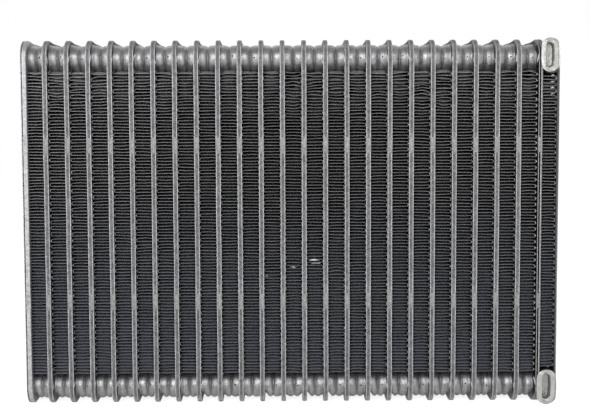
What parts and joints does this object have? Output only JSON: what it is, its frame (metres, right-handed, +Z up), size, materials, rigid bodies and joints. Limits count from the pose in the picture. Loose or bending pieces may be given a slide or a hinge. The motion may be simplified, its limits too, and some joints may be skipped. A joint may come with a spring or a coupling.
{
  "type": "evaporator core",
  "caption": "Evaporator core for a vehicle air conditioner: stamped flat tubes with tank cups at top and bottom, folded fins between them, and flattened header pipes at one end.",
  "frame": {"origin": "middle of the bounding box at its underside", "axes": "+X along the stack, from the plain end to the header pipes; +Y in the direction of the air, from the front with the clinch tabs and pipe caps to the rear with the round ports; +Z up"},
  "size_m": [0.2976, 0.098, 0.204],
  "materials": {
    "plates": "satin",
    "fins": "satin",
    "pipes": "satin"
  },
  "bodies": {
    "root": {"left_end_plate": "plates", "tube_plates_01": "plates", "fin_pack_01": "fins", "tube_plates_02": "plates", "fin_pack_02": "fins", "tube_plates_03": "plates", "fin_pack_03": "fins", "tube_plates_04": "plates", "fin_pack_04": "fins", "tube_plates_05": "plates", "fin_pack_05": "fins", "tube_plates_06": "plates", "fin_pack_06": "fins", "tube_plates_07": "plates", "fin_pack_07": "fins", "tube_plates_08": "plates", "fin_pack_08": "fins", "tube_plates_09": "plates", "fin_pack_09": "fins", "tube_plates_10": "plates", "fin_pack_10": "fins", "tube_plates_11": "plates", "fin_pack_11": "fins", "tube_plates_12": "plates", "fin_pack_12": "fins", "tube_plates_13": "plates", "fin_pack_13": "fins", "tube_plates_14": "plates", "fin_pack_14": "fins", "tube_plates_15": "plates", "fin_pack_15": "fins", "tube_plates_16": "plates", "fin_pack_16": "fins", "tube_plates_17": "plates", "fin_pack_17": "fins", "tube_plates_18": "plates", "fin_pack_18": "fins", "tube_plates_19": "plates", "fin_pack_19": "fins", "tube_plates_20": "plates", "fin_pack_20": "fins", "tube_plates_21": "plates", "fin_pack_21": "fins", "tube_plates_22": "plates", "fin_pack_22": "fins", "tube_plates_23": "plates", "fin_pack_23": "fins", "tube_plates_24": "plates", "fin_pack_24": "fins", "tube_plates_25": "plates", "right_end_plate": "plates", "fin_pack_25": "fins", "side_plate": "plates", "upper_header_pipe": "pipes", "upper_header_cap": "pipes", "lower_header_pipe": "pipes", "lower_header_cap": "pipes"}
  },
  "joints": []
}
